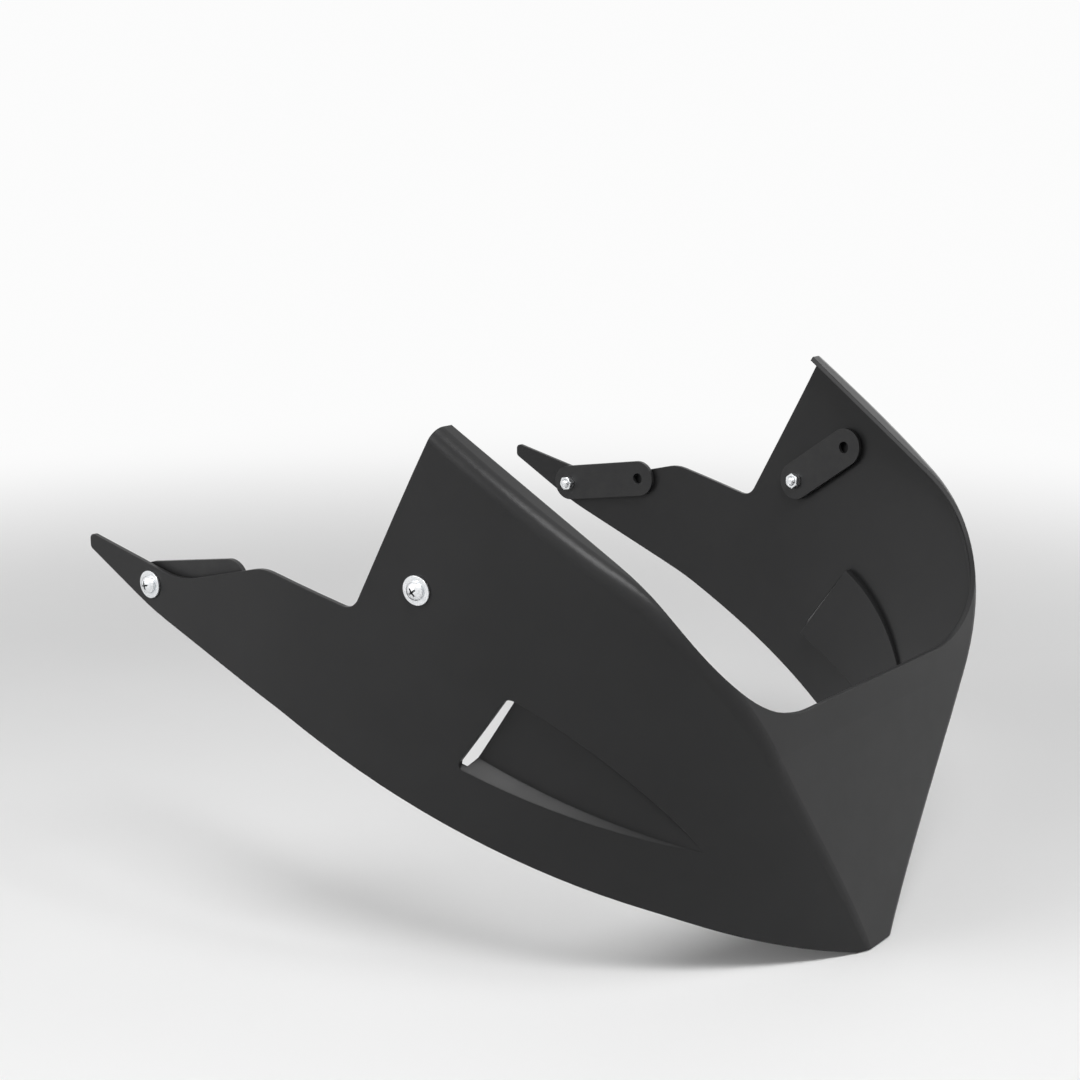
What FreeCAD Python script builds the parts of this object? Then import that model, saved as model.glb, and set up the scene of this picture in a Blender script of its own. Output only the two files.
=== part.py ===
import FreeCAD, Part
import math
import os
import Sketcher
from FreeCAD import Placement, Rotation, Vector

# Engine guard: a moulded pan that wraps the front and the lower sides of an engine.
# Frame: +X forward, +Y to the left, +Z up. The origin lies on the mid-plane, at half the length,
# level with the underside of the toe. Lengths are millimetres and "back" is measured from the nose.

SIZES = (
    # The pan as a whole
    ("nose_x", 237.0, "front wall at the toe, ahead of the origin"),
    ("wall", 3.0, "sheet thickness"),
    ("side_half", 228.0, "half the width over the side panels"),
    ("bow_back", 330.0, "where the side panels start to run parallel"),
    ("bow_lead", 1.0, "the bow is drawn this far ahead of the front wall"),
    # Half widths of the bow at the nose, level by level
    ("level_a", -5.0, "height of the lowest level"),
    ("level_b", 93.0, "height of the second level"),
    ("level_c", 183.0, "height of the third level"),
    ("level_d", 258.0, "height of the fourth level"),
    ("level_e", 353.0, "height of the top level"),
    ("bow_a", 9.0, "half width at the nose, lowest level"),
    ("bow_b", 73.0, "half width at the nose, second level"),
    ("bow_c", 139.0, "half width at the nose, third level"),
    ("bow_d", 177.0, "half width at the nose, fourth level"),
    ("bow_e", 184.0, "half width at the nose, top level"),
    # Front wall, rolled shoulder and fin
    ("shoulder_back", 10.5, "sharp corner between front wall and shoulder"),
    ("shoulder_z", 227.4, "height of that corner"),
    ("shoulder_radius", 147.0, "bend between front wall and shoulder"),
    ("ridge_radius", 9.0, "rolled edge between panel and shoulder"),
    ("fin_back", 177.8, "tip of the fin"),
    ("fin_z", 339.1, "height of the fin tip"),
    # Front opening
    ("lip_z", 172.9, "height of the lip across the front"),
    ("lip_half", 162.0, "half width of the opening at the lip"),
    ("mouth_half", 203.5, "half width of the opening at the fin tip"),
    ("lip_radius", 105.0, "corner between lip and shoulder flange"),
    # Trimmed edge of the side panels
    ("toe_back", 4.0, "flat underside of the toe"),
    ("belly_a_back", 75.0, "first bend of the lower edge"),
    ("belly_a_z", 43.0, "height of the first bend"),
    ("belly_b_back", 300.0, "second bend of the lower edge"),
    ("belly_b_z", 152.0, "height of the second bend"),
    ("belly_c_ahead", 59.0, "third bend of the lower edge, ahead of the tail"),
    ("belly_c_z", 198.5, "height of the third bend"),
    ("belly_radius", 220.0, "radius of these bends"),
    ("tail_back", 474.0, "rear end of the side panels"),
    ("tail_low_z", 231.5, "lower corner of the tail"),
    ("tail_height", 10.0, "height of the tail's end"),
    ("tail_radius", 3.5, "rounding of the tail corners"),
    ("dip_ahead", 87.1, "dip of the upper edge, ahead of the tail"),
    ("dip_z", 221.5, "height of the dip"),
    ("dip_radius", 60.0, "radius of the dip"),
    ("crest_share", 0.483, "place of the crest on the way from notch to dip"),
    ("crest_z", 240.7, "height of the crest"),
    ("crest_radius", 32.0, "radius of the crest"),
    ("notch_back", 239.4, "notch behind the fin"),
    ("notch_z", 224.3, "height of the notch"),
    ("notch_radius", 11.0, "radius of the notch"),
    # Vent pocket in each side panel
    ("vent_tip_back", 52.5, "front tip of the vent"),
    ("vent_tip_z", 86.5, "height of the tip"),
    ("vent_top_back", 141.0, "upper rear corner of the vent"),
    ("vent_top_z", 183.8, "height of the upper rear corner"),
    ("vent_low_back", 177.7, "lower rear corner of the vent"),
    ("vent_low_z", 135.4, "height of the lower rear corner"),
    ("vent_top_radius", 180.0, "sweep of the upper edge"),
    ("vent_low_radius", 1300.0, "sweep of the lower edge"),
    ("vent_corner", 5.5, "rounding of the vent's rear corners"),
    ("pocket_turn", 3.9, "the pocket floor is the panel swung in about the vent's tip, degrees"),
    ("ledge_slope", 45.0, "rise of the pocket's lower wall towards the floor, degrees"),
    ("slot_top", 2.5, "the floor ends this far ahead of the upper rear corner"),
    ("slot_low", 6.0, "the floor ends this far ahead of the lower rear corner"),
    ("cover_ahead", 6.0, "pocket wall ahead of the vent's tip"),
    ("cover_above", 4.2, "pocket wall over the vent, measured upright"),
    ("cover_below", 1.0, "pocket wall under the vent, measured upright"),
    # Fixing points
    ("front_fix_back", 192.5, "front screw"),
    ("front_fix_z", 243.2, "height of the front screw"),
    ("rear_fix_ahead", 59.3, "rear screw, ahead of the tail"),
    ("rear_fix_z", 215.0, "height of the rear screw"),
    ("hole_play", 0.6, "holes are this much wider than the screw"),
    ("seat_gap", 0.1, "relief between the curved panel and the flat rings on both its sides"),
    ("screw_dia", 6.0, "screw shank"),
    ("head_dia", 11.6, "screw head"),
    ("head_rise", 4.4, "height of the head"),
    ("head_edge", 1.9, "straight edge of the head"),
    ("head_crown", 5.2, "flat crown of the head"),
    ("tip_length", 2.0, "screw tip past the nut"),
    ("washer_dia", 18.0, "wide plain washer"),
    ("washer_thick", 1.6, "washer thickness"),
    ("rubber_dia", 18.0, "rubber washer behind the panel"),
    ("rubber_thick", 2.0, "rubber washer thickness"),
    ("nut_flats", 10.0, "width across the nut's flats"),
    ("nut_thick", 5.0, "nut thickness"),
    # Straps to the machine
    ("strap_thick", 3.0, "strap sheet"),
    ("strap_width", 28.0, "strap width"),
    ("strap_hole", 8.5, "bolt hole for the machine"),
    ("rear_strap_pitch", 70.5, "screw hole to bolt hole, rear"),
    ("rear_strap_angle", 9.3, "rise of the rear strap, degrees"),
    ("front_strap_pitch", 52.0, "screw hole to bolt hole, front"),
    ("front_strap_angle", 35.0, "rise of the front strap, degrees"),
)

# Cutting tools run past what they cut by this factor
OVERRUN = 1.4

doc = FreeCAD.newDocument("engine_guard")
sheet = doc.addObject("Spreadsheet::Sheet", "sizes")
for row, (name, value, note) in enumerate(SIZES, start=1):
    sheet.set("A%d" % row, name)
    sheet.set("B%d" % row, str(value))
    sheet.set("C%d" % row, note)
    sheet.setAlias("B%d" % row, name)
doc.recompute()


class Size:
    """A number together with the expression that ties it to the sheet."""

    def __init__(self, value, text):
        self.value = float(value)
        self.text = text

    def _join(self, other, sign, value):
        text = other.text if isinstance(other, Size) else repr(float(other))
        return Size(value, "(%s %s %s)" % (self.text, sign, text))

    def __add__(self, other):
        return self._join(other, "+", self.value + number(other))

    def __sub__(self, other):
        return self._join(other, "-", self.value - number(other))

    def __mul__(self, other):
        return self._join(other, "*", self.value * number(other))

    def __truediv__(self, other):
        return self._join(other, "/", self.value / number(other))

    def __neg__(self):
        return Size(-self.value, "(-1 * %s)" % self.text)

    def root(self):
        return Size(math.sqrt(self.value), "sqrt(%s)" % self.text)


def number(item):
    return item.value if isinstance(item, Size) else float(item)


S = {name: Size(sheet.get(name), "sizes." + name) for name, value, note in SIZES}
ZERO = Size(0.0, "0")


def back(name):
    """X of a place that the sheet gives as a distance behind the nose."""
    return S["nose_x"] - S[name]


def ahead_of_tail(name):
    """X of a place that the sheet gives as a distance ahead of the tail."""
    return back("tail_back") + S[name]


# Sketching

def origin_plane(body, role):
    for feature in body.Origin.OriginFeatures:
        if feature.Role == role:
            return feature
    raise ValueError(role)


def new_sketch(body, name, role, height=None):
    """A sketch on one of the body's own origin planes, or parallel to it."""
    sketch = body.newObject("Sketcher::SketchObject", name)
    sketch.AttachmentSupport = [(origin_plane(body, role), "")]
    sketch.MapMode = "FlatFace"
    if height is not None:
        sketch.AttachmentOffset = Placement(Vector(0, 0, height.value), Rotation())
        sketch.setExpression("AttachmentOffset.Base.z", height.text)
    return sketch


def bind(sketch, constraint, size):
    index = sketch.addConstraint(constraint)
    sketch.setExpression("Constraints[%d]" % index, size.text)


def pin(sketch, geo, pos, x, y):
    """Fix a point of a sketch by its distances from the sketch's origin."""
    for kind, axis, size in (("DistanceX", -2, x), ("DistanceY", -1, y)):
        if size is ZERO:
            sketch.addConstraint(Sketcher.Constraint("PointOnObject", geo, pos, axis))
        elif size.value < 0:
            bind(sketch, Sketcher.Constraint(kind, geo, pos, -1, 1, -size.value), -size)
        else:
            bind(sketch, Sketcher.Constraint(kind, -1, 1, geo, pos, size.value), size)


def arc_between(start, end, centre):
    """The shorter arc from start to end, and which of its ends is the start."""
    radius = (start - centre).Length
    first = math.atan2(start.y - centre.y, start.x - centre.x)
    last = math.atan2(end.y - centre.y, end.x - centre.x)
    turn = (last - first) % (2 * math.pi)
    circle = Part.Circle(centre, Vector(0, 0, 1), radius)
    if turn <= math.pi:
        return Part.ArcOfCircle(circle, first, first + turn), 1, 2
    return Part.ArcOfCircle(circle, last, last + 2 * math.pi - turn), 2, 1


def outline(sketch, corners):
    """Draw a closed outline from corners (x, y, rounding, bend).

    A rounding is the radius of the corner. A bend is (radius, side) and makes the edge to the
    next corner an arc that bulges to the left (1) or to the right (-1) of the way round.
    """
    count = len(corners)
    points = [Vector(x.value, y.value, 0) for x, y, rounding, bend in corners]
    starts, ends, centres = [], [], []
    for i, (x, y, rounding, bend) in enumerate(corners):
        if rounding is None:
            starts.append(points[i])
            ends.append(points[i])
            centres.append(None)
            continue
        before = (points[i - 1] - points[i]).normalize()
        after = (points[(i + 1) % count] - points[i]).normalize()
        half = before.getAngle(after) / 2
        reach = rounding.value / math.tan(half)
        starts.append(points[i] + before * reach)
        ends.append(points[i] + after * reach)
        middle = (before + after).normalize()
        centres.append(points[i] + middle * (rounding.value / math.sin(half)))
    edges = []
    for i, (x, y, rounding, bend) in enumerate(corners):
        first, last = ends[i], starts[(i + 1) % count]
        if bend is None:
            edges.append((sketch.addGeometry(Part.LineSegment(first, last)), 1, 2))
            continue
        radius, side = bend
        chord = last - first
        across = Vector(-chord.y, chord.x, 0).normalize()
        drop = math.sqrt(radius.value ** 2 - (chord.Length / 2) ** 2)
        centre = (first + last) * 0.5 - across * (side * drop)
        arc, begin, finish = arc_between(first, last, centre)
        geo = sketch.addGeometry(arc)
        edges.append((geo, begin, finish))
        bind(sketch, Sketcher.Constraint("Radius", geo, radius.value), radius)
    for i, (x, y, rounding, bend) in enumerate(corners):
        before, after = edges[i - 1], edges[i]
        if rounding is None:
            joined = Sketcher.Constraint("Coincident", before[0], before[2], after[0], after[1])
            sketch.addConstraint(joined)
            pin(sketch, after[0], after[1], x, y)
            continue
        arc, begin, finish = arc_between(starts[i], ends[i], centres[i])
        geo = sketch.addGeometry(arc)
        sketch.addConstraint(Sketcher.Constraint("Tangent", before[0], before[2], geo, begin))
        sketch.addConstraint(Sketcher.Constraint("Tangent", geo, finish, after[0], after[1]))
        bind(sketch, Sketcher.Constraint("Radius", geo, rounding.value), rounding)
        point = sketch.addGeometry(Part.Point(points[i]), True)
        sketch.addConstraint(Sketcher.Constraint("PointOnObject", point, 1, before[0]))
        sketch.addConstraint(Sketcher.Constraint("PointOnObject", point, 1, after[0]))
        pin(sketch, point, 1, x, y)


def ring(sketch, x, radius):
    """A circle on the sketch's own X axis."""
    geo = sketch.addGeometry(Part.Circle(Vector(x.value, 0, 0), Vector(0, 0, 1), radius.value))
    pin(sketch, geo, 3, x, ZERO)
    bind(sketch, Sketcher.Constraint("Radius", geo, radius.value), radius)


def pad(body, sketch, name, length, both_ways=False):
    feature = body.newObject("PartDesign::Pad", name)
    feature.Profile = sketch
    if both_ways:
        feature.SideType = "Symmetric"
    feature.Length = length.value
    feature.setExpression("Length", length.text)
    return feature


def across(name, corners):
    """A bar with the given side view, right across the pan."""
    body = doc.addObject("PartDesign::Body", name)
    sketch = new_sketch(body, name + "_sketch", "XZ_Plane")
    outline(sketch, corners)
    pad(body, sketch, name + "_pad", S["side_half"] * 2.0 * OVERRUN, True)
    return body


# The outside and the inside of the pan, both before trimming

def bow_section(body, name, level, bow, inset):
    """Plan section at one level: a bow that runs into two parallel side panels."""
    sketch = new_sketch(body, name, "XY_Plane", level)
    run = S["bow_back"] + S["bow_lead"]
    sag = S["side_half"] - bow
    radius = (run * run + sag * sag) / (sag * 2.0)
    front_run = run - inset
    inner_radius = radius - inset
    bow_half = S["side_half"] - radius + (inner_radius * inner_radius - front_run * front_run).root()
    nose = S["nose_x"] + S["bow_lead"] - inset
    bend = back("bow_back")
    rear = S["nose_x"] - S["tail_back"] * OVERRUN
    side = S["side_half"] - inset
    left_nose = Vector(nose.value, bow_half.value, 0)
    left_bend = Vector(bend.value, side.value, 0)
    left_rear = Vector(rear.value, side.value, 0)
    right_nose = Vector(nose.value, -bow_half.value, 0)
    right_bend = Vector(bend.value, -side.value, 0)
    right_rear = Vector(rear.value, -side.value, 0)
    centre = Vector(0, inner_radius.value, 0)
    left_arc, left_begin, left_end = arc_between(left_nose, left_bend, left_bend - centre)
    right_arc, right_begin, right_end = arc_between(right_bend, right_nose, right_bend + centre)
    front = sketch.addGeometry(Part.LineSegment(right_nose, left_nose))
    left = sketch.addGeometry(left_arc)
    left_side = sketch.addGeometry(Part.LineSegment(left_bend, left_rear))
    tail = sketch.addGeometry(Part.LineSegment(left_rear, right_rear))
    right_side = sketch.addGeometry(Part.LineSegment(right_rear, right_bend))
    right = sketch.addGeometry(right_arc)
    for one, pos, other, end in (
        (front, 2, left, left_begin),
        (left_side, 2, tail, 1),
        (tail, 2, right_side, 1),
        (right, right_end, front, 1),
    ):
        sketch.addConstraint(Sketcher.Constraint("Coincident", one, pos, other, end))
    sketch.addConstraint(Sketcher.Constraint("Tangent", left, left_end, left_side, 1))
    sketch.addConstraint(Sketcher.Constraint("Tangent", right_side, 2, right, right_begin))
    sketch.addConstraint(Sketcher.Constraint("Horizontal", left_side))
    sketch.addConstraint(Sketcher.Constraint("Horizontal", right_side))
    pin(sketch, front, 2, nose, bow_half)
    pin(sketch, front, 1, nose, -bow_half)
    pin(sketch, tail, 1, rear, side)
    pin(sketch, tail, 2, rear, -side)
    return sketch


def front_profile(body, name, inset):
    """Side view of what lies ahead of the front wall and above the shoulder."""
    sketch = new_sketch(body, name, "XZ_Plane")
    fall_x, fall_z = S["shoulder_back"], -S["shoulder_z"]
    fall = (fall_x * fall_x + fall_z * fall_z).root()
    climb_x, climb_z = S["shoulder_back"] - S["fin_back"], S["fin_z"] - S["shoulder_z"]
    climb = (climb_x * climb_x + climb_z * climb_z).root()
    reach = (S["level_e"] - S["shoulder_z"]) / climb_z * OVERRUN
    corner_x, corner_z = back("shoulder_back"), S["shoulder_z"]
    spread = (fall_x * climb_z - fall_z * climb_x) / (fall * climb)
    shift = -(inset / spread)
    low_x = corner_x + fall_x * OVERRUN + fall_z * inset / fall
    low_z = corner_z + fall_z * OVERRUN - fall_x * inset / fall
    top_x = corner_x + climb_x * reach - climb_z * inset / climb
    top_z = corner_z + climb_z * reach + climb_x * inset / climb
    clear_x = S["nose_x"] + S["shoulder_radius"]
    outline(sketch, (
        (low_x, low_z, None, None),
        (
            corner_x + (fall_x / fall + climb_x / climb) * shift,
            corner_z + (fall_z / fall + climb_z / climb) * shift,
            S["shoulder_radius"] - inset,
            None,
        ),
        (top_x, top_z, None, None),
        (clear_x, top_z, None, None),
        (clear_x, low_z, None, None),
    ))
    return sketch


def pan_form(name, inset):
    """Solid form of the pan, set in from the outside by a given distance."""
    body = doc.addObject("PartDesign::Body", name)
    sections = []
    for letter in "abcde":
        title = "%s_section_%s" % (name, letter)
        sections.append(bow_section(body, title, S["level_" + letter], S["bow_" + letter], inset))
    hull = body.newObject("PartDesign::AdditiveLoft", name + "_hull")
    hull.Profile = sections[0]
    hull.Sections = sections[1:]
    front = body.newObject("PartDesign::Pocket", name + "_front")
    front.Profile = front_profile(body, name + "_front_profile", inset)
    front.SideType = "Symmetric"
    width = S["side_half"] * 2.0 * OVERRUN
    front.Length = width.value
    front.setExpression("Length", width.text)
    doc.recompute()
    # The ridges are the only edges that both climb and run back
    ridges = []
    for i, edge in enumerate(front.Shape.Edges, start=1):
        if edge.BoundBox.XLength > 1 and edge.BoundBox.ZLength > 1:
            ridges.append("Edge%d" % i)
    roll = body.newObject("PartDesign::Fillet", name + "_ridge")
    roll.Base = (front, ridges)
    roll.Radius = S["ridge_radius"].value - inset.value
    roll.setExpression("Radius", (S["ridge_radius"] - inset).text)
    return body


outside = pan_form("outside", ZERO)
inside = pan_form("inside", S["wall"])


# Trimming tools

def boolean(kind, name, base, tool):
    result = doc.addObject("Part::" + kind, name)
    result.Base = base
    result.Tool = tool
    return result


def joined(kind, name, shapes):
    result = doc.addObject("Part::" + kind, name)
    result.Shapes = shapes
    return result


above = S["level_e"]
ahead = S["nose_x"] + S["ridge_radius"]
fin_run = (S["notch_back"] - S["fin_back"]) / (S["fin_z"] - S["notch_z"])
fin_top_x = back("fin_back") + fin_run * (above - S["fin_z"])
notch_x, dip_x = back("notch_back"), ahead_of_tail("dip_ahead")
crest_x = notch_x + (dip_x - notch_x) * S["crest_share"]
trim = across("trim", (
    (ahead, ZERO, None, None),
    (back("toe_back"), ZERO, None, None),
    (back("belly_a_back"), S["belly_a_z"], S["belly_radius"], None),
    (back("belly_b_back"), S["belly_b_z"], S["belly_radius"], None),
    (ahead_of_tail("belly_c_ahead"), S["belly_c_z"], S["belly_radius"], None),
    (back("tail_back"), S["tail_low_z"], S["tail_radius"], None),
    (back("tail_back"), S["tail_low_z"] + S["tail_height"], S["tail_radius"], None),
    (dip_x, S["dip_z"], S["dip_radius"], None),
    (crest_x, S["crest_z"], S["crest_radius"], None),
    (notch_x, S["notch_z"], S["notch_radius"], None),
    (fin_top_x, above, None, None),
    (ahead, above, None, None),
))

# The opening is seen from the front and flares towards its top
flare = (S["mouth_half"] - S["lip_half"]) / (S["fin_z"] - S["lip_z"])
opening_top = S["lip_half"] + flare * (above - S["lip_z"])
opening = doc.addObject("PartDesign::Body", "opening")
opening_sketch = new_sketch(opening, "opening_sketch", "YZ_Plane")
outline(opening_sketch, (
    (-S["lip_half"], S["lip_z"], S["lip_radius"], None),
    (S["lip_half"], S["lip_z"], S["lip_radius"], None),
    (opening_top, above, None, None),
    (-opening_top, above, None, None),
))
pad(opening, opening_sketch, "opening_pad", S["tail_back"] * 2.0 * OVERRUN, True)


# Vent of the right panel: a shallow pocket whose floor sinks towards a slot at its rear

def panel_at(x, z):
    """Point on the outside of the right panel, and the way the panel faces there."""
    ray = Part.makeLine(Vector(x, 0, z), Vector(x, -2 * S["side_half"].value, z))
    ends = outside.Shape.common(ray).Vertexes
    point = min((vertex.Point for vertex in ends), key=lambda place: place.y)
    face = min(outside.Shape.Faces, key=lambda item: item.distToShape(Part.Vertex(point))[0])
    u, v = face.Surface.parameter(point)
    return point, face.normalAt(u, v)


vent_tip = (back("vent_tip_back"), S["vent_tip_z"])
vent_top = (back("vent_top_back"), S["vent_top_z"])
vent_low = (back("vent_low_back"), S["vent_low_z"])


def side_bar(name, corners):
    """A bar with the given side view, from the mid-plane out through the right panel."""
    body = doc.addObject("PartDesign::Body", name)
    sketch = new_sketch(body, name + "_sketch", "XZ_Plane")
    outline(sketch, corners)
    pad(body, sketch, name + "_pad", S["side_half"] * OVERRUN)
    return body


def round_long_edges(body, corners, radius):
    """Round those edges of a side bar that start at the given corners of its side view."""
    doc.recompute()
    bar = body.Tip
    picked = []
    for i, edge in enumerate(bar.Shape.Edges, start=1):
        start, end = edge.Vertexes[0].Point, edge.Vertexes[-1].Point
        if abs(start.y - end.y) < S["side_half"].value:
            continue
        for x, z in corners:
            if math.hypot(start.x - x.value, start.z - z.value) < 0.01:
                picked.append("Edge%d" % i)
    rounding = body.newObject("PartDesign::Fillet", body.Name + "_corners")
    rounding.Base = (bar, picked)
    rounding.Radius = radius.value
    rounding.setExpression("Radius", radius.text)


def vent_corners(ahead, above, below):
    """Side view of the vent, larger by the given distances."""
    return (
        (vent_tip[0] + ahead, vent_tip[1] - below, None, (S["vent_low_radius"], 1)),
        (vent_low[0], vent_low[1] - below, None, None),
        (vent_top[0], vent_top[1] + above, None, (S["vent_top_radius"], 1)),
    )


def fixed(value):
    return Size(value, repr(float(value)))


def ledge_bar(name):
    """All that lies above the sloping lower wall, whose lower edge is the vent's edge on the panel."""
    rise = math.tan(math.radians(S["ledge_slope"].value))
    tip = Vector(vent_tip[0].value, 0, vent_tip[1].value)
    low = Vector(vent_low[0].value, 0, vent_low[1].value)
    chord = low - tip
    radius = S["vent_low_radius"].value
    sag = radius - math.sqrt(radius ** 2 - chord.Length ** 2 / 4)
    middle = (tip + low) * 0.5 + chord.cross(Vector(0, 1, 0)).normalize() * sag
    drawn = []
    for place in (tip, middle, low):
        on_panel = panel_at(place.x, place.z)[0]
        drawn.append(Vector(place.x, place.z - on_panel.y * rise, 0))
    sweep = fixed(Part.Arc(*drawn).toShape().Curve.Radius)
    bulge = 1 if (drawn[2] - drawn[0]).cross(drawn[1] - drawn[0]).z > 0 else -1
    front, rear = S["tail_back"].value, -S["tail_back"].value
    top = drawn[2].y + S["side_half"].value
    body = side_bar(name, (
        (fixed(drawn[0].x), fixed(drawn[0].y), None, (sweep, bulge)),
        (fixed(drawn[2].x), fixed(drawn[2].y), None, None),
        (fixed(rear), fixed(drawn[2].y), None, None),
        (fixed(rear), fixed(top), None, None),
        (fixed(front), fixed(top), None, None),
        (fixed(front), fixed(drawn[0].y), None, None),
    ))
    body.Tip.UseCustomVector = True
    body.Tip.AlongSketchNormal = True
    body.Tip.Direction = Vector(0, -1, -rise)
    return body


def swung_in(name, form):
    """A copy of one of the pan's forms, swung in about an upright line through the vent's tip."""
    tip = panel_at(vent_tip[0].value, vent_tip[1].value)[0]
    copy = doc.addObject("Part::Compound", name)
    copy.Links = [form]
    turn = Rotation(Vector(0, 0, 1), -S["pocket_turn"].value)
    copy.Placement = Placement(Vector(), turn, tip)
    return copy


def mirrored(source):
    result = doc.addObject("Part::Mirroring", source.Name + "_left")
    result.Source = source
    result.Normal = Vector(0, 1, 0)
    return result


# The floor stops along a line that runs past both ends of the vent
stop_x, stop_z = vent_low[0] + S["slot_low"], vent_low[1]
run_x = vent_top[0] + S["slot_top"] - stop_x
run_z = vent_top[1] - stop_z
high_x, high_z = stop_x + run_x * OVERRUN, stop_z + run_z * OVERRUN
deep_x, deep_z = stop_x - run_x * (OVERRUN - 1), stop_z - run_z * (OVERRUN - 1)
vent_length = S["vent_low_back"] - S["vent_tip_back"]
slot_bar = side_bar("slot_bar", (
    (deep_x, deep_z, None, None),
    (deep_x - vent_length, deep_z, None, None),
    (high_x - vent_length, high_z, None, None),
    (high_x, high_z, None, None),
))
mouth_bar = side_bar("mouth_bar", vent_corners(ZERO, ZERO, S["cover_below"]))
mouth_low = (vent_low[0], vent_low[1] - S["cover_below"])
round_long_edges(mouth_bar, (mouth_low, vent_top), S["vent_corner"])
cover_bar = side_bar(
    "cover_bar", vent_corners(S["cover_ahead"], S["cover_above"], S["cover_below"])
)
above_ledge = boolean("Common", "above_ledge", mouth_bar, ledge_bar("ledge_bar"))
pocket = boolean("Cut", "pocket", above_ledge, swung_in("floor_form", outside))
slot = boolean("Common", "slot", slot_bar, inside)
cover_block = boolean("Common", "cover_block", cover_bar, outside)
cover_void = joined("MultiFuse", "cover_void", [swung_in("cover_form", inside), slot])
cover = boolean("Cut", "pocket_cover", cover_block, cover_void)


# Fixing points: each has its own frame, +Z out of the panel and +X along its strap

def fixing_frames():
    frames = {}
    for end, x in (("front", back("front_fix_back")), ("rear", ahead_of_tail("rear_fix_ahead"))):
        place, out = panel_at(x.value, S[end + "_fix_z"].value)
        rise = math.radians(S[end + "_strap_angle"].value)
        along = Vector(math.cos(rise), 0, math.sin(rise))
        for side, flip in (("right", 1), ("left", -1)):
            spot = Vector(place.x, place.y * flip, place.z)
            normal = Vector(out.x, out.y * flip, out.z)
            lie = (along - normal * along.dot(normal)).normalize()
            frames[end + "_%s_" + side] = Placement(spot, Rotation(lie, Vector(), normal, "ZXY"))
    return frames


frames = fixing_frames()
hole_radius = (S["screw_dia"] + S["hole_play"]) / 2.0
holes = []
for name, frame in frames.items():
    hole = doc.addObject("Part::Cylinder", name % "hole")
    hole.setExpression("Radius", hole_radius.text)
    hole.setExpression("Height", (S["wall"] * 4.0).text)
    hole.Placement = frame * Placement(Vector(0, 0, -2 * S["wall"].value), Rotation())
    holes.append(hole)

# The pan: shell, pocket walls, then every opening, then the trimmed edge
raw_shell = boolean("Cut", "raw_shell", outside, inside)
walled = joined("MultiFuse", "walled_shell", [raw_shell, cover, mirrored(cover)])
cut_outs = [pocket, mirrored(pocket), opening] + holes
opened = boolean("Cut", "opened_shell", walled, joined("MultiFuse", "cut_outs", cut_outs))
pan_shell = boolean("Common", "pan_shell", opened, trim)
pan_shell.Label = "pan_shell"
pieces = [pan_shell]


# Hardware, each piece in its fixing frame with the panel's outside at height zero

def new_piece(name, frame):
    body = doc.addObject("PartDesign::Body", name)
    body.Label = name
    body.Placement = frame
    pieces.append(body)
    return body


def plain_ring(name, frame, low, dia, thick):
    body = new_piece(name, frame)
    sketch = new_sketch(body, name + "_sketch", "XY_Plane", low)
    ring(sketch, ZERO, dia / 2.0)
    ring(sketch, ZERO, hole_radius)
    pad(body, sketch, name + "_pad", thick)


def hex_nut(name, frame, low):
    body = new_piece(name, frame)
    sketch = new_sketch(body, name + "_sketch", "XY_Plane", low)
    corner = S["nut_flats"] / math.sqrt(3)
    half = corner / 2.0
    step = S["nut_flats"] / 2.0
    outline(sketch, (
        (corner, ZERO, None, None),
        (half, step, None, None),
        (-half, step, None, None),
        (-corner, ZERO, None, None),
        (-half, -step, None, None),
        (half, -step, None, None),
    ))
    ring(sketch, ZERO, hole_radius)
    pad(body, sketch, name + "_pad", S["nut_thick"])


def strap(name, frame, low, pitch):
    body = new_piece(name, frame)
    sketch = new_sketch(body, name + "_sketch", "XY_Plane", low)
    radius = S["strap_width"] / 2.0
    far, wide = Vector(pitch.value, 0, 0), Vector(0, radius.value, 0)
    up = Vector(0, 0, 1)
    top = sketch.addGeometry(Part.LineSegment(far + wide, wide))
    near_end = sketch.addGeometry(
        Part.ArcOfCircle(Part.Circle(Vector(), up, radius.value), math.pi / 2, 3 * math.pi / 2)
    )
    bottom = sketch.addGeometry(Part.LineSegment(-wide, far - wide))
    far_end = sketch.addGeometry(
        Part.ArcOfCircle(Part.Circle(far, up, radius.value), -math.pi / 2, math.pi / 2)
    )
    loop = (top, near_end, bottom, far_end)
    for i, geo in enumerate(loop):
        sketch.addConstraint(Sketcher.Constraint("Tangent", geo, 2, loop[(i + 1) % 4], 1))
    pin(sketch, near_end, 3, ZERO, ZERO)
    pin(sketch, far_end, 3, pitch, ZERO)
    bind(sketch, Sketcher.Constraint("Radius", near_end, radius.value), radius)
    bind(sketch, Sketcher.Constraint("Radius", far_end, radius.value), radius)
    ring(sketch, ZERO, hole_radius)
    ring(sketch, pitch, S["strap_hole"] / 2.0)
    pad(body, sketch, name + "_pad", S["strap_thick"])


def screw(name, frame, tip):
    body = new_piece(name, frame)
    sketch = new_sketch(body, name + "_sketch", "XZ_Plane")
    seat = S["seat_gap"] + S["washer_thick"]
    head = S["head_dia"] / 2.0
    shank = S["screw_dia"] / 2.0
    outline(sketch, (
        (ZERO, tip, None, None),
        (shank, tip, None, None),
        (shank, seat, None, None),
        (head, seat, None, None),
        (head, seat + S["head_edge"], None, None),
        (S["head_crown"] / 2.0, seat + S["head_rise"], None, None),
        (ZERO, seat + S["head_rise"], None, None),
    ))
    turned = body.newObject("PartDesign::Revolution", name + "_turn")
    turned.Profile = sketch
    turned.ReferenceAxis = (sketch, ["V_Axis"])
    turned.Angle = 360


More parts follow.
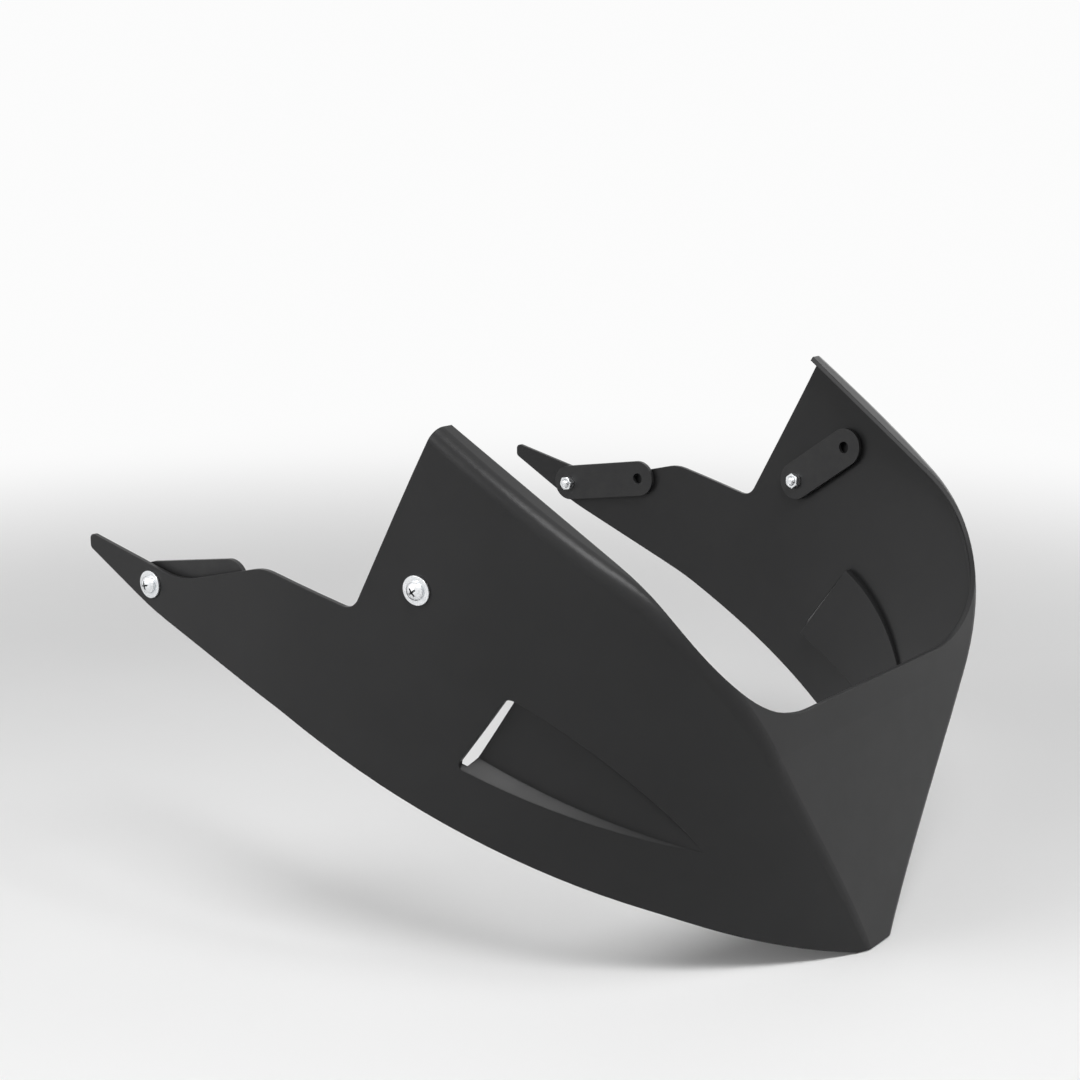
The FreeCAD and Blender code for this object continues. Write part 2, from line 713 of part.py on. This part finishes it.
rubber_low = -(S["wall"] + S["seat_gap"] + S["rubber_thick"])
strap_low = rubber_low - S["strap_thick"]
nut_low = strap_low - S["nut_thick"]
tip_low = nut_low - S["tip_length"]
for name, frame in frames.items():
    end = name.split("_")[0]
    plain_ring(name % "washer", frame, S["seat_gap"], S["washer_dia"], S["washer_thick"])
    screw(name % "screw", frame, tip_low)
    plain_ring(name % "rubber", frame, rubber_low, S["rubber_dia"], S["rubber_thick"])
    strap(name % "strap", frame, strap_low, S[end + "_strap_pitch"])
    hex_nut(name % "nut", frame, nut_low)

doc.recompute()
for item in doc.Objects:
    if "Invalid" in item.State or "Error" in item.State:
        raise RuntimeError("%s did not build: %s" % (item.Label, item.State))
for piece in pieces:
    if piece.Shape.isNull() or not piece.Shape.isValid() or len(piece.Shape.Solids) != 1:
        raise RuntimeError("%s is not one sound solid" % piece.Label)

os.makedirs("parts", exist_ok=True)
for piece in pieces:
    piece.Shape.exportStep("parts/%s.step" % piece.Label)
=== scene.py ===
import math

import bmesh
import bpy
from mathutils import Matrix, Vector


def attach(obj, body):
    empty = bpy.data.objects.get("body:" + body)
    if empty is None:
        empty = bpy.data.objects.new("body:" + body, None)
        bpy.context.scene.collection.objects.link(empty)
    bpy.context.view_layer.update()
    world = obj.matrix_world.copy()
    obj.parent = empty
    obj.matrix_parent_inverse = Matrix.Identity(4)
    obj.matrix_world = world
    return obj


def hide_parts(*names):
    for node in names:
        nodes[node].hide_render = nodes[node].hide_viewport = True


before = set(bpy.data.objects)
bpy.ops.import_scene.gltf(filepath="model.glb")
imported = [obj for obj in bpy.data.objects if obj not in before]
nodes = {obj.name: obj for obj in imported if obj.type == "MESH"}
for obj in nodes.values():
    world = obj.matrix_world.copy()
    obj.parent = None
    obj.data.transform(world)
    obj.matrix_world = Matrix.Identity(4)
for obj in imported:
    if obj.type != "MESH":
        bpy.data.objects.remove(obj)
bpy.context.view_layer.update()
scene = bpy.context.scene
scene.view_settings.view_transform = "Standard"

MM = 0.001

SKY_LIGHT = 0.22
FOCAL_PIXELS = 1870.0
FRAME_PIXELS = 1080.0

# Fixing points of the right side in millimetres: the panel's outside, the way it faces, the strap's way
FIXINGS = {
    "front": ((44.5, -218.471, 243.2), (0.137663, -0.988325, -0.065289), (0.8111, 0.0746, 0.5801)),
    "rear": ((-177.7, -228.0, 215.0), (0.0, -1.0, 0.0), (0.98686, 0.0, 0.16160)),
}
WASHER_LOW = 0.1
WASHER_THICK = 1.6
HEAD_LOW = WASHER_LOW + WASHER_THICK
HEAD_DIA = 11.6
HEAD_RISE = 4.4
SHANK_DIA = 6.0
PANEL = 3.0
RUBBER_HIGH = -3.1
RUBBER_THICK = 2.0
STRAP_HIGH = RUBBER_HIGH - RUBBER_THICK
STRAP_THICK = 3.0
NUT_HIGH = STRAP_HIGH - STRAP_THICK
NUT_THICK = 5.0
NUT_FLATS = 10.0
SCREW_LOW = NUT_HIGH - NUT_THICK - 2.0
THREAD_PITCH = 1.0
THREAD_DEPTH = 0.55
WASHER_DIA = 18.0
WASHER_BORE = 6.6


# Materials

def new_material(name):
    material = bpy.data.materials.new(name)
    material.use_nodes = True
    tree = material.node_tree
    tree.nodes.clear()
    output = tree.nodes.new("ShaderNodeOutputMaterial")
    shader = tree.nodes.new("ShaderNodeBsdfPrincipled")
    tree.links.new(shader.outputs["BSDF"], output.inputs["Surface"])
    return material, tree, shader


def noise(tree, scale, detail=2.0):
    """Noise in the part's own metres."""
    place = tree.nodes.new("ShaderNodeTexCoord")
    texture = tree.nodes.new("ShaderNodeTexNoise")
    texture.inputs["Scale"].default_value = scale
    texture.inputs["Detail"].default_value = detail
    tree.links.new(place.outputs["Object"], texture.inputs["Vector"])
    return texture.outputs["Fac"]


def spread(tree, value, low, high):
    """Map the middle of a noise to a range of numbers."""
    node = tree.nodes.new("ShaderNodeMapRange")
    node.inputs["From Min"].default_value = 0.3
    node.inputs["From Max"].default_value = 0.7
    node.inputs["To Min"].default_value = low
    node.inputs["To Max"].default_value = high
    tree.links.new(value, node.inputs["Value"])
    return node.outputs["Result"]


def tint(tree, value, low, high):
    """Map a noise to a colour between two colours."""
    ramp = tree.nodes.new("ShaderNodeValToRGB")
    ramp.color_ramp.elements[0].position = 0.3
    ramp.color_ramp.elements[0].color = (*low, 1.0)
    ramp.color_ramp.elements[1].position = 0.7
    ramp.color_ramp.elements[1].color = (*high, 1.0)
    tree.links.new(value, ramp.inputs["Fac"])
    return ramp.outputs["Color"]


def relief(tree, height, strength, distance, normal=None):
    node = tree.nodes.new("ShaderNodeBump")
    node.inputs["Strength"].default_value = strength
    node.inputs["Distance"].default_value = distance
    tree.links.new(height, node.inputs["Height"])
    if normal is not None:
        tree.links.new(normal, node.inputs["Normal"])
    return node.outputs["Normal"]


def soft_edges(tree, radius):
    node = tree.nodes.new("ShaderNodeBevel")
    node.samples = 6
    node.inputs["Radius"].default_value = radius
    return node.outputs["Normal"]


def painted_corner_shade(tree, colour, distance):
    """Painted shade: a colour darkened in the piece's own corners, and how open each point is."""
    node = tree.nodes.new("ShaderNodeAmbientOcclusion")
    node.samples = 8
    node.only_local = True
    node.inputs["Distance"].default_value = distance
    tree.links.new(colour, node.inputs["Color"])
    return node.outputs["Color"], node.outputs["AO"]


def pan_plastic():
    """Satin black moulding: a fine even grain, a faint cloudiness, and painted shade in its corners on
    colour and gloss.
    """
    material, tree, shader = new_material("pan_plastic")
    cloud = noise(tree, 14.0, 3.0)
    colour = tint(tree, cloud, (0.0210, 0.0210, 0.0215), (0.0250, 0.0250, 0.0255))
    # Painted shade: the moulding's colour is darkened in its own corners.
    shaded, openness = painted_corner_shade(tree, colour, 5.0 * MM)
    tree.links.new(shaded, shader.inputs["Base Color"])
    # Painted shade on the gloss: the specular level falls towards none in closed corners.
    corner_gloss_shade = tree.nodes.new("ShaderNodeMapRange")
    corner_gloss_shade.inputs["To Max"].default_value = 0.20
    tree.links.new(openness, corner_gloss_shade.inputs["Value"])
    tree.links.new(corner_gloss_shade.outputs["Result"], shader.inputs["Specular IOR Level"])
    tree.links.new(spread(tree, noise(tree, 60.0, 3.0), 0.31, 0.36), shader.inputs["Roughness"])
    edges = soft_edges(tree, 0.9 * MM)
    grain = relief(tree, noise(tree, 2600.0, 1.0), 0.08, 0.2 * MM, edges)
    tree.links.new(grain, shader.inputs["Normal"])
    return material


def zinc_plate():
    """Bright zinc: a cool pale metal with a mottled gloss and painted shade in its corners."""
    material, tree, shader = new_material("zinc_plate")
    shader.inputs["Metallic"].default_value = 1.0
    mottle = noise(tree, 900.0, 3.0)
    colour = tint(tree, mottle, (0.72, 0.74, 0.76), (0.82, 0.83, 0.84))
    # Painted shade: the zinc is darkened in its own corners.
    shaded = painted_corner_shade(tree, colour, 3.0 * MM)[0]
    tree.links.new(shaded, shader.inputs["Base Color"])
    tree.links.new(spread(tree, noise(tree, 1500.0, 2.0), 0.22, 0.36), shader.inputs["Roughness"])
    edges = soft_edges(tree, 0.2 * MM)
    fine = relief(tree, noise(tree, 5000.0, 2.0), 0.06, 0.1 * MM, edges)
    tree.links.new(fine, shader.inputs["Normal"])
    return material


def strap_paint():
    """Satin black coat on steel strip, with a little orange peel."""
    material, tree, shader = new_material("strap_paint")
    tree.links.new(
        tint(tree, noise(tree, 120.0, 3.0), (0.018, 0.018, 0.019), (0.024, 0.024, 0.024)),
        shader.inputs["Base Color"],
    )
    tree.links.new(spread(tree, noise(tree, 300.0, 2.0), 0.36, 0.46), shader.inputs["Roughness"])
    shader.inputs["Specular IOR Level"].default_value = 0.30
    edges = soft_edges(tree, 0.5 * MM)
    peel = relief(tree, noise(tree, 900.0, 1.0), 0.10, 0.2 * MM, edges)
    tree.links.new(peel, shader.inputs["Normal"])
    return material


def black_rubber():
    material, tree, shader = new_material("black_rubber")
    tree.links.new(
        tint(tree, noise(tree, 400.0, 3.0), (0.014, 0.014, 0.014), (0.024, 0.024, 0.023)),
        shader.inputs["Base Color"],
    )
    tree.links.new(spread(tree, noise(tree, 800.0, 2.0), 0.70, 0.85), shader.inputs["Roughness"])
    pores = relief(tree, noise(tree, 3000.0, 2.0), 0.20, 0.1 * MM)
    tree.links.new(pores, shader.inputs["Normal"])
    return material


PAN = pan_plastic()
ZINC = zinc_plate()
STRAP = strap_paint()
RUBBER = black_rubber()


# Pieces that are made here

def place_of(end, side):
    """Matrix from a fixing's own millimetres to the part's metres."""
    flip = 1 if side == "right" else -1
    spot, out, along = FIXINGS[end]
    origin = Vector((spot[0], spot[1] * flip, spot[2])) * MM
    up = Vector((out[0], out[1] * flip, out[2])).normalized()
    run = Vector((along[0], along[1] * flip, along[2]))
    run = (run - up * run.dot(up)).normalized()
    turn = Matrix((run, up.cross(run), up)).transposed().to_4x4()
    return Matrix.Translation(origin) @ turn @ Matrix.Diagonal((MM, MM, MM, 1.0))


def add_piece(name, mesh, material, node, matrix):
    mesh.transform(matrix)
    mesh.materials.append(material)
    piece = bpy.data.objects.new(name, mesh)
    scene.collection.objects.link(piece)
    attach(piece, "root")
    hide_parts(node)
    return piece


def turned(name, rings, count=64):
    """A closed ring-shaped mesh from a closed profile of (radius, height) points."""
    work = bmesh.new()
    loops = []
    for i in range(count):
        angle = 2 * math.pi * i / count
        loops.append([
            work.verts.new((r * math.cos(angle), r * math.sin(angle), z)) for r, z in rings
        ])
    size = len(rings)
    for i in range(count):
        here, there = loops[i], loops[(i + 1) % count]
        for k in range(size):
            work.faces.new((here[k], there[k], there[(k + 1) % size], here[(k + 1) % size]))
    return finished(name, work, 35.0)


def finished(name, work, smooth_angle):
    bmesh.ops.recalc_face_normals(work, faces=work.faces)
    mesh = bpy.data.meshes.new(name)
    work.to_mesh(mesh)
    work.free()
    mesh.shade_smooth()
    mesh.set_sharp_from_angle(angle=math.radians(smooth_angle))
    return mesh


def arc_points(centre_r, centre_z, radius, start, end, steps):
    """Points of a profile's rounding, its angles in degrees."""
    points = []
    for i in range(steps + 1):
        angle = math.radians(start + (end - start) * i / steps)
        points.append((centre_r + radius * math.cos(angle), centre_z + radius * math.sin(angle)))
    return points


def washer_mesh(name, dia, low, thick, bore, edge):
    outer, inner = dia / 2, bore / 2
    rings = arc_points(outer - edge, low + edge, edge, -90, 0, 4)
    rings += arc_points(outer - edge, low + thick - edge, edge, 0, 90, 4)
    rings += arc_points(inner + edge, low + thick - edge, edge, 90, 180, 4)
    rings += arc_points(inner + edge, low + edge, edge, 180, 270, 4)
    return turned(name, rings)


def cross_cutter():
    """Tapered cross that is pressed into the screw's head."""
    work = bmesh.new()
    top, low = HEAD_LOW + HEAD_RISE + 0.6, HEAD_LOW + 1.3
    for turn in (0.0, math.pi / 2):
        spin = Matrix.Rotation(turn, 4, "Z")
        corners = []
        for z, reach, half in ((low, 1.5, 0.42), (top, 3.5, 0.62)):
            corners.append([
                work.verts.new(spin @ Vector((x * reach, y * half, z)))
                for x, y in ((-1, -1), (1, -1), (1, 1), (-1, 1))
            ])
        bottom, cap = corners
        work.faces.new(list(reversed(bottom)))
        work.faces.new(cap)
        for k in range(4):
            work.faces.new((bottom[k], bottom[(k + 1) % 4], cap[(k + 1) % 4], cap[k]))
    bmesh.ops.recalc_face_normals(work, faces=work.faces)
    mesh = bpy.data.meshes.new("cross_cutter")
    work.to_mesh(mesh)
    work.free()
    return mesh


def screw_mesh(name):
    """Domed head with a cross recess on a threaded shank."""
    work = bmesh.new()
    count = 64
    head, shank = HEAD_DIA / 2, SHANK_DIA / 2
    crown = HEAD_RISE - 1.3
    dome = (head * head + crown * crown) / (2 * crown)
    centre = HEAD_LOW + HEAD_RISE - dome
    start = math.asin(head * 0.97 / dome)
    profile = [(shank, HEAD_LOW), (head - 0.35, HEAD_LOW), (head, HEAD_LOW + 0.35)]
    profile += [(head, HEAD_LOW + 1.0), (head - 0.04, HEAD_LOW + 1.2)]
    for i in range(15):
        angle = start * (1 - i / 15)
        profile.append((dome * math.sin(angle), centre + dome * math.cos(angle)))
    plain = -PANEL - 1.0
    rows = [(shank, plain)]
    steps = int((plain - SCREW_LOW) / THREAD_PITCH * 10)
    for i in range(1, steps + 1):
        rows.append((None, plain + (SCREW_LOW - plain) * i / steps))
    loops = []
    for r, z in reversed(profile):
        loops.append([
            work.verts.new((r * math.cos(a), r * math.sin(a), z))
            for a in (2 * math.pi * k / count for k in range(count))
        ])
    for r, z in rows:
        ring = []
        for k in range(count):
            a = 2 * math.pi * k / count
            radius = r
            if r is None:
                phase = (z / THREAD_PITCH - k / count) % 1.0
                fade = min(1.0, (plain - z) / 1.5)
                end = min(1.0, (z - SCREW_LOW) / 0.7)
                radius = shank - THREAD_DEPTH * abs(2 * phase - 1) * fade - 0.5 * (1 - end)
            ring.append(work.verts.new((radius * math.cos(a), radius * math.sin(a), z)))
        loops.append(ring)
    for upper, lower in zip(loops, loops[1:]):
        for k in range(count):
            work.faces.new((upper[k], lower[k], lower[(k + 1) % count], upper[(k + 1) % count]))
    tip = work.verts.new((0, 0, HEAD_LOW + HEAD_RISE))
    tail = work.verts.new((0, 0, SCREW_LOW))
    for k in range(count):
        work.faces.new((tip, loops[0][k], loops[0][(k + 1) % count]))
        work.faces.new((tail, loops[-1][(k + 1) % count], loops[-1][k]))
    solid = finished(name + "_plain", work, 32.0)
    body = bpy.data.objects.new(name + "_plain", solid)
    cutter = bpy.data.objects.new("cutter", cross_cutter())
    for item in (body, cutter):
        scene.collection.objects.link(item)
    cut = body.modifiers.new("recess", "BOOLEAN")
    cut.operation = "DIFFERENCE"
    cut.solver = "EXACT"
    cut.use_self = True
    cut.object = cutter
    bpy.context.view_layer.update()
    mesh = bpy.data.meshes.new_from_object(body.evaluated_get(bpy.context.evaluated_depsgraph_get()))
    for item in (body, cutter):
        bpy.data.objects.remove(item)
    mesh.name = name
    mesh.shade_smooth()
    mesh.set_sharp_from_angle(angle=math.radians(32.0))
    return mesh


def nut_mesh(name):
    """Hexagon with chamfered corners and a threaded bore."""
    low, high = NUT_HIGH - NUT_THICK, NUT_HIGH
    count = 72
    bore = SHANK_DIA / 2 + 0.05
    flat = NUT_FLATS / 2
    land = flat * 0.96
    slope = math.tan(math.radians(30))
    work = bmesh.new()
    loops = []
    for k in range(count):
        a = 2 * math.pi * k / count
        off = (a + math.pi / 6) % (math.pi / 3) - math.pi / 6
        reach = flat / math.cos(off - math.pi / 6 if off > 0 else off + math.pi / 6)
        drop = max(0.0, (reach - land) * slope)
        column = [(bore + 0.5, low), (land, low), (reach, low + drop), (reach, high - drop)]
        column += [(land, high), (bore + 0.5, high), (bore, high - 0.5)]
        turns = 24
        for i in range(1, turns):
            z = high - 0.5 + (low + 0.5 - high + 0.5) * i / turns
            phase = (z / THREAD_PITCH - k / count) % 1.0
            column.append((bore - 0.02 + 0.3 * abs(2 * phase - 1), z))
        column.append((bore, low + 0.5))
        loops.append([work.verts.new((r * math.cos(a), r * math.sin(a), z)) for r, z in column])
    size = len(loops[0])
    for k in range(count):
        here, there = loops[k], loops[(k + 1) % count]
        for i in range(size):
            work.faces.new((here[i], there[i], there[(i + 1) % size], here[(i + 1) % size]))
    return finished(name, work, 25.0)


for end in FIXINGS:
    for side in ("right", "left"):
        spot = place_of(end, side)
        name = end + "_%s_" + side
        add_piece(
            name % "washer" + "_zinc",
            washer_mesh("washer", WASHER_DIA, WASHER_LOW, WASHER_THICK, WASHER_BORE, 0.25),
            ZINC, name % "washer", spot,
        )
        add_piece(
            name % "rubber" + "_soft",
            washer_mesh("rubber", WASHER_DIA, STRAP_HIGH, RUBBER_THICK, WASHER_BORE, 0.7),
            RUBBER, name % "rubber", spot,
        )
        add_piece(name % "screw" + "_zinc", screw_mesh("screw"), ZINC, name % "screw", spot)
        add_piece(name % "nut" + "_zinc", nut_mesh("nut"), ZINC, name % "nut", spot)


# Solids that are shown as they are

def dress(node, material):
    piece = nodes[node]
    piece.data.materials.clear()
    piece.data.materials.append(material)


dress("pan_shell", PAN)
for end in FIXINGS:
    for side in ("right", "left"):
        dress("%s_strap_%s" % (end, side), STRAP)


# Stage, light and camera

def backdrop():
    """Pale sheet under the part that rises into a wall behind it."""
    work = bmesh.new()
    floor_z, rear, radius, wide = -0.0008, 2.6, 1.0, 5.0
    profile = [(-4.0, floor_z), (rear - radius, floor_z)]
    for i in range(1, 25):
        a = math.pi / 2 * i / 24
        profile.append((rear - radius + radius * math.sin(a), floor_z + radius * (1 - math.cos(a))))
    profile.append((rear, 4.0))
    rows = [[work.verts.new((x, y, z)) for y, z in profile] for x in (-wide, wide)]
    for i in range(len(profile) - 1):
        work.faces.new((rows[0][i], rows[1][i], rows[1][i + 1], rows[0][i + 1]))
    mesh = finished("backdrop", work, 60.0)
    mesh.transform(Matrix.Rotation(math.radians(38), 4, "Z"))
    stage = bpy.data.objects.new("backdrop", mesh)
    scene.collection.objects.link(stage)
    mesh.materials.append(paper())


def paper():
    """Pale to the eye and in mirrored light, a plain grey in diffuse light; it fades to white far off."""
    material, tree, shader = new_material("backdrop_paper")
    shader.inputs["Roughness"].default_value = 0.9
    shader.inputs["Specular IOR Level"].default_value = 0.0
    path = tree.nodes.new("ShaderNodeLightPath")
    mix = tree.nodes.new("ShaderNodeMix")
    mix.data_type = "RGBA"
    pale = tint(tree, noise(tree, 4.0, 1.0), (0.885, 0.885, 0.885), (0.90, 0.90, 0.90))
    seen = seen_rays(tree, path)
    grey = tint(tree, noise(tree, 4.0, 1.0), (0.595, 0.595, 0.595), (0.605, 0.605, 0.605))
    tree.links.new(seen, mix.inputs["Factor"])
    tree.links.new(grey, mix.inputs["A"])
    tree.links.new(pale, mix.inputs["B"])
    tree.links.new(mix.outputs["Result"], shader.inputs["Base Color"])
    place = tree.nodes.new("ShaderNodeTexCoord")
    distance = tree.nodes.new("ShaderNodeVectorMath")
    distance.operation = "LENGTH"
    tree.links.new(place.outputs["Object"], distance.inputs[0])
    fade = tree.nodes.new("ShaderNodeMapRange")
    fade.interpolation_type = "SMOOTHSTEP"
    fade.inputs["From Min"].default_value = 0.55
    fade.inputs["From Max"].default_value = 1.9
    tree.links.new(distance.outputs["Value"], fade.inputs["Value"])
    share = tree.nodes.new("ShaderNodeMath")
    share.operation = "MULTIPLY"
    tree.links.new(fade.outputs["Result"], share.inputs[0])
    tree.links.new(seen, share.inputs[1])
    glow = tree.nodes.new("ShaderNodeEmission")
    glow.inputs["Strength"].default_value = 0.97
    blend = tree.nodes.new("ShaderNodeMixShader")
    tree.links.new(share.outputs["Value"], blend.inputs["Fac"])
    tree.links.new(shader.outputs["BSDF"], blend.inputs[1])
    tree.links.new(glow.outputs["Emission"], blend.inputs[2])
    output = next(node for node in tree.nodes if node.type == "OUTPUT_MATERIAL")
    tree.links.new(blend.outputs["Shader"], output.inputs["Surface"])
    return material


def seen_rays(tree, path):
    """One for rays that show the backdrop itself: to the camera, mirrored, or through glass."""
    total = path.outputs["Is Camera Ray"]
    for kind in ("Is Glossy Ray", "Is Transmission Ray"):
        either = tree.nodes.new("ShaderNodeMath")
        either.operation = "MAXIMUM"
        tree.links.new(total, either.inputs[0])
        tree.links.new(path.outputs[kind], either.inputs[1])
        total = either.outputs["Value"]
    return total


def lamp(name, way, distance, size, power):
    """A soft box that faces the part from the given side."""
    centre = Vector((0.05, -0.05, 0.15))
    light = bpy.data.lights.new(name, "AREA")
    light.shape = "RECTANGLE"
    light.size, light.size_y = size
    light.energy = power
    item = bpy.data.objects.new(name, light)
    item.location = centre + Vector(way).normalized() * distance
    item.rotation_euler = (centre - item.location).to_track_quat("-Z", "Y").to_euler()
    scene.collection.objects.link(item)


backdrop()
lamp("key", (-0.36, -0.80, 0.48), 2.0, (1.0, 1.0), 15)
lamp("top", (0.50, -0.21, 0.84), 1.9, (1.3, 0.55), 27)
lamp("side", (-0.20, 0.93, 0.30), 2.2, (1.0, 1.0), 4)

world = bpy.data.worlds.new("studio")
scene.world = world
world.use_nodes = True
sky = world.node_tree
sky.nodes["Background"].inputs["Color"].default_value = (1.0, 1.0, 1.0, 1.0)
level = sky.nodes.new("ShaderNodeMapRange")
level.inputs["To Min"].default_value = SKY_LIGHT
level.inputs["To Max"].default_value = 1.0
sky.links.new(seen_rays(sky, sky.nodes.new("ShaderNodeLightPath")), level.inputs["Value"])
sky.links.new(level.outputs["Result"], sky.nodes["Background"].inputs["Strength"])

right = Vector((0.78792, 0.61577, 0.0))
up = Vector((-0.13297, 0.17015, 0.97641))
look = Vector((-0.60125, 0.76933, -0.21595))
camera = bpy.data.cameras.new("camera")
camera.sensor_width = 36.0
camera.lens = 36.0 * FOCAL_PIXELS / FRAME_PIXELS
camera.clip_end = 50.0
eye = bpy.data.objects.new("camera", camera)
turn = Matrix((right, up, -look)).transposed().to_4x4()
eye.matrix_world = Matrix.Translation(Vector((0.7453, -1.0, 0.5044))) @ turn
scene.collection.objects.link(eye)
scene.camera = eye
